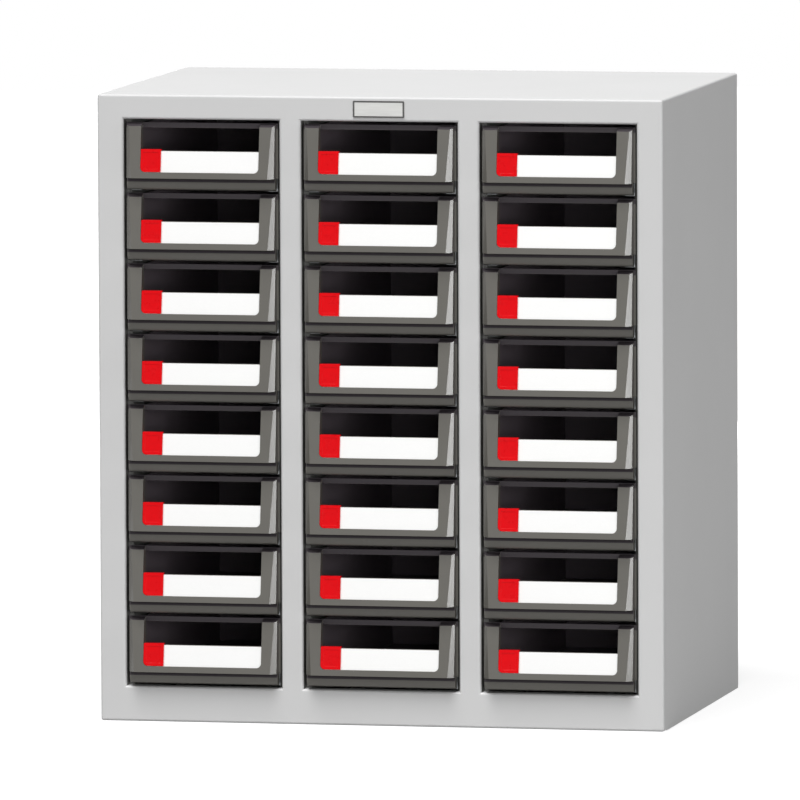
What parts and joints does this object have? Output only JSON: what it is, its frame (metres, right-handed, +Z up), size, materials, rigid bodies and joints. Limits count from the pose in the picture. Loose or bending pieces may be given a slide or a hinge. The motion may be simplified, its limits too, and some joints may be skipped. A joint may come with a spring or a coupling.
{
  "type": "parts cabinet with pull-out drawers",
  "caption": "Free-standing sheet-steel parts cabinet with columns of moulded pull-out drawers, each with a finger window, a label card and a colour index clip.",
  "frame": {"origin": "centre of the cabinet's footprint, on the floor it stands on", "axes": "+X to the right seen from the front, +Y from the drawer fronts to the back, +Z up; the drawers pull out towards -Y"},
  "size_m": [0.585, 0.4121, 0.64],
  "materials": {
    "powder_coat": "light grey powder coat, fine texture, semi-matt",
    "galvanised": "galvanised sheet, satin",
    "rivet": "plain drawn aluminium, satin",
    "plate": "satin plate with a dark rim",
    "drawer_plastic": "dark grey moulded ABS, fine spark texture, satin",
    "label": "white card stock, with a gloss red moulded clip"
  },
  "bodies": {
    "cabinet": {"front_frame": "powder_coat", "outer_shell": "powder_coat", "base_panel": "powder_coat", "back_panel": "powder_coat", "side_channel_left": "powder_coat", "side_channel_right": "powder_coat", "partition_1": "powder_coat", "partition_2": "powder_coat", "runners_left_hand": "galvanised", "runners_right_hand": "galvanised", "back_rivets": "rivet", "nameplate": "plate"},
    "drawer_a1": {"drawer_a1": "drawer_plastic", "label_a1": "label"},
    "drawer_a2": {"drawer_a2": "drawer_plastic", "label_a2": "label"},
    "drawer_a3": {"drawer_a3": "drawer_plastic", "label_a3": "label"},
    "drawer_a4": {"drawer_a4": "drawer_plastic", "label_a4": "label"},
    "drawer_a5": {"drawer_a5": "drawer_plastic", "label_a5": "label"},
    "drawer_a6": {"drawer_a6": "drawer_plastic", "label_a6": "label"},
    "drawer_a7": {"drawer_a7": "drawer_plastic", "label_a7": "label"},
    "drawer_a8": {"drawer_a8": "drawer_plastic", "label_a8": "label"},
    "drawer_b1": {"drawer_b1": "drawer_plastic", "label_b1": "label"},
    "drawer_b2": {"drawer_b2": "drawer_plastic", "label_b2": "label"},
    "drawer_b3": {"drawer_b3": "drawer_plastic", "label_b3": "label"},
    "drawer_b4": {"drawer_b4": "drawer_plastic", "label_b4": "label"},
    "drawer_b5": {"drawer_b5": "drawer_plastic", "label_b5": "label"},
    "drawer_b6": {"drawer_b6": "drawer_plastic", "label_b6": "label"},
    "drawer_b7": {"drawer_b7": "drawer_plastic", "label_b7": "label"},
    "drawer_b8": {"drawer_b8": "drawer_plastic", "label_b8": "label"},
    "drawer_c1": {"drawer_c1": "drawer_plastic", "label_c1": "label"},
    "drawer_c2": {"drawer_c2": "drawer_plastic", "label_c2": "label"},
    "drawer_c3": {"drawer_c3": "drawer_plastic", "label_c3": "label"},
    "drawer_c4": {"drawer_c4": "drawer_plastic", "label_c4": "label"},
    "drawer_c5": {"drawer_c5": "drawer_plastic", "label_c5": "label"},
    "drawer_c6": {"drawer_c6": "drawer_plastic", "label_c6": "label"},
    "drawer_c7": {"drawer_c7": "drawer_plastic", "label_c7": "label"},
    "drawer_c8": {"drawer_c8": "drawer_plastic", "label_c8": "label"}
  },
  "joints": [
    {"name": "slide_a1", "type": "slide", "parent": "cabinet", "child": "drawer_a1", "axis": [0, -1, 0], "range_m": [0, 0.3]},
    {"name": "slide_a2", "type": "slide", "parent": "cabinet", "child": "drawer_a2", "axis": [0, -1, 0], "range_m": [0, 0.3]},
    {"name": "slide_a3", "type": "slide", "parent": "cabinet", "child": "drawer_a3", "axis": [0, -1, 0], "range_m": [0, 0.3]},
    {"name": "slide_a4", "type": "slide", "parent": "cabinet", "child": "drawer_a4", "axis": [0, -1, 0], "range_m": [0, 0.3]},
    {"name": "slide_a5", "type": "slide", "parent": "cabinet", "child": "drawer_a5", "axis": [0, -1, 0], "range_m": [0, 0.3]},
    {"name": "slide_a6", "type": "slide", "parent": "cabinet", "child": "drawer_a6", "axis": [0, -1, 0], "range_m": [0, 0.3]},
    {"name": "slide_a7", "type": "slide", "parent": "cabinet", "child": "drawer_a7", "axis": [0, -1, 0], "range_m": [0, 0.3]},
    {"name": "slide_a8", "type": "slide", "parent": "cabinet", "child": "drawer_a8", "axis": [0, -1, 0], "range_m": [0, 0.3]},
    {"name": "slide_b1", "type": "slide", "parent": "cabinet", "child": "drawer_b1", "axis": [0, -1, 0], "range_m": [0, 0.3]},
    {"name": "slide_b2", "type": "slide", "parent": "cabinet", "child": "drawer_b2", "axis": [0, -1, 0], "range_m": [0, 0.3]},
    {"name": "slide_b3", "type": "slide", "parent": "cabinet", "child": "drawer_b3", "axis": [0, -1, 0], "range_m": [0, 0.3]},
    {"name": "slide_b4", "type": "slide", "parent": "cabinet", "child": "drawer_b4", "axis": [0, -1, 0], "range_m": [0, 0.3]},
    {"name": "slide_b5", "type": "slide", "parent": "cabinet", "child": "drawer_b5", "axis": [0, -1, 0], "range_m": [0, 0.3]},
    {"name": "slide_b6", "type": "slide", "parent": "cabinet", "child": "drawer_b6", "axis": [0, -1, 0], "range_m": [0, 0.3]},
    {"name": "slide_b7", "type": "slide", "parent": "cabinet", "child": "drawer_b7", "axis": [0, -1, 0], "range_m": [0, 0.3]},
    {"name": "slide_b8", "type": "slide", "parent": "cabinet", "child": "drawer_b8", "axis": [0, -1, 0], "range_m": [0, 0.3]},
    {"name": "slide_c1", "type": "slide", "parent": "cabinet", "child": "drawer_c1", "axis": [0, -1, 0], "range_m": [0, 0.3]},
    {"name": "slide_c2", "type": "slide", "parent": "cabinet", "child": "drawer_c2", "axis": [0, -1, 0], "range_m": [0, 0.3]},
    {"name": "slide_c3", "type": "slide", "parent": "cabinet", "child": "drawer_c3", "axis": [0, -1, 0], "range_m": [0, 0.3]},
    {"name": "slide_c4", "type": "slide", "parent": "cabinet", "child": "drawer_c4", "axis": [0, -1, 0], "range_m": [0, 0.3]},
    {"name": "slide_c5", "type": "slide", "parent": "cabinet", "child": "drawer_c5", "axis": [0, -1, 0], "range_m": [0, 0.3]},
    {"name": "slide_c6", "type": "slide", "parent": "cabinet", "child": "drawer_c6", "axis": [0, -1, 0], "range_m": [0, 0.3]},
    {"name": "slide_c7", "type": "slide", "parent": "cabinet", "child": "drawer_c7", "axis": [0, -1, 0], "range_m": [0, 0.3]},
    {"name": "slide_c8", "type": "slide", "parent": "cabinet", "child": "drawer_c8", "axis": [0, -1, 0], "range_m": [0, 0.3]}
  ]
}
